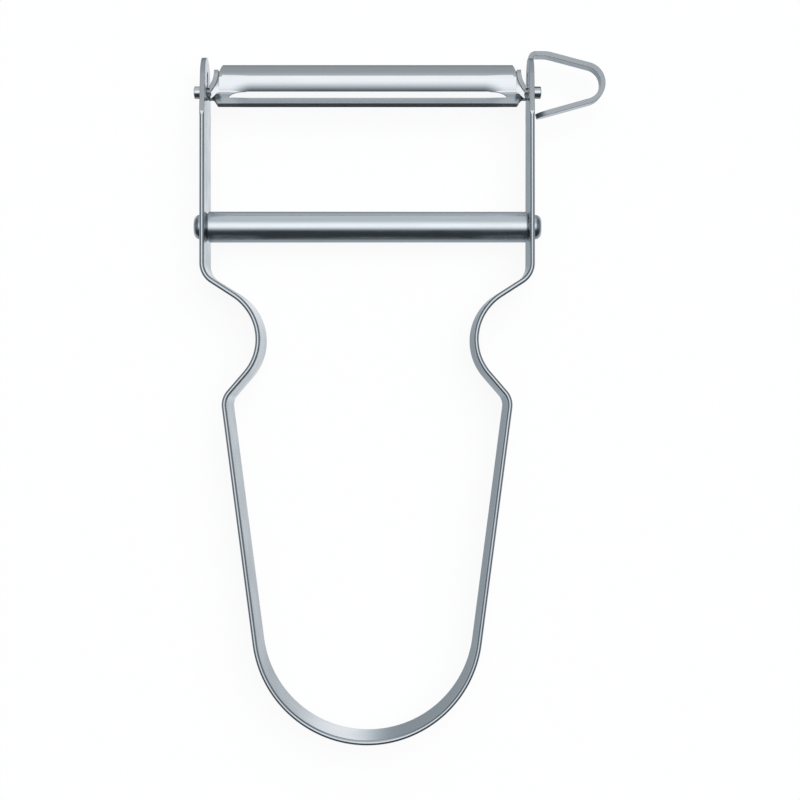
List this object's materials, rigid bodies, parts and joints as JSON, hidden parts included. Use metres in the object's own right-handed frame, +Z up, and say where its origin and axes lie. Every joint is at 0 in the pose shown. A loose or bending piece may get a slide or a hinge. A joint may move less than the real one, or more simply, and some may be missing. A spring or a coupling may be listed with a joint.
{
  "type": "vegetable peeler",
  "caption": "Stirrup-shaped steel vegetable peeler: bent strip handle with arms and an eye cutter, a riveted spacer tube and a slotted blade that swivels between the arm heads.",
  "frame": {"origin": "middle of the handle's end, at half the strip's thickness, on the lower edge of the strip that the peeler lies on", "axes": "+X across the arms towards the eye cutter, +Y from the handle's end to the blade, +Z up, across the strip's width"},
  "size_m": [0.0667, 0.1116, 0.01],
  "materials": {
    "strip_steel": "polished satin strip with rounded, bright edges",
    "spacer_steel": "turned tube, satin",
    "rivet_steel": "pressed rivet head, satin",
    "blade_steel": "polished sheet with a ground cutting edge and dull sheared edges"
  },
  "bodies": {
    "frame": {"frame_strip": "strip_steel", "spacer_tube": "spacer_steel", "spacer_rivet": "rivet_steel"},
    "blade": {"blade": "blade_steel"}
  },
  "joints": [
    {"name": "blade_swivel", "type": "hinge", "parent": "frame", "child": "blade", "pos_m": [0, 0.10475, 0.005], "axis": [1, 0, 0], "continuous": true}
  ]
}
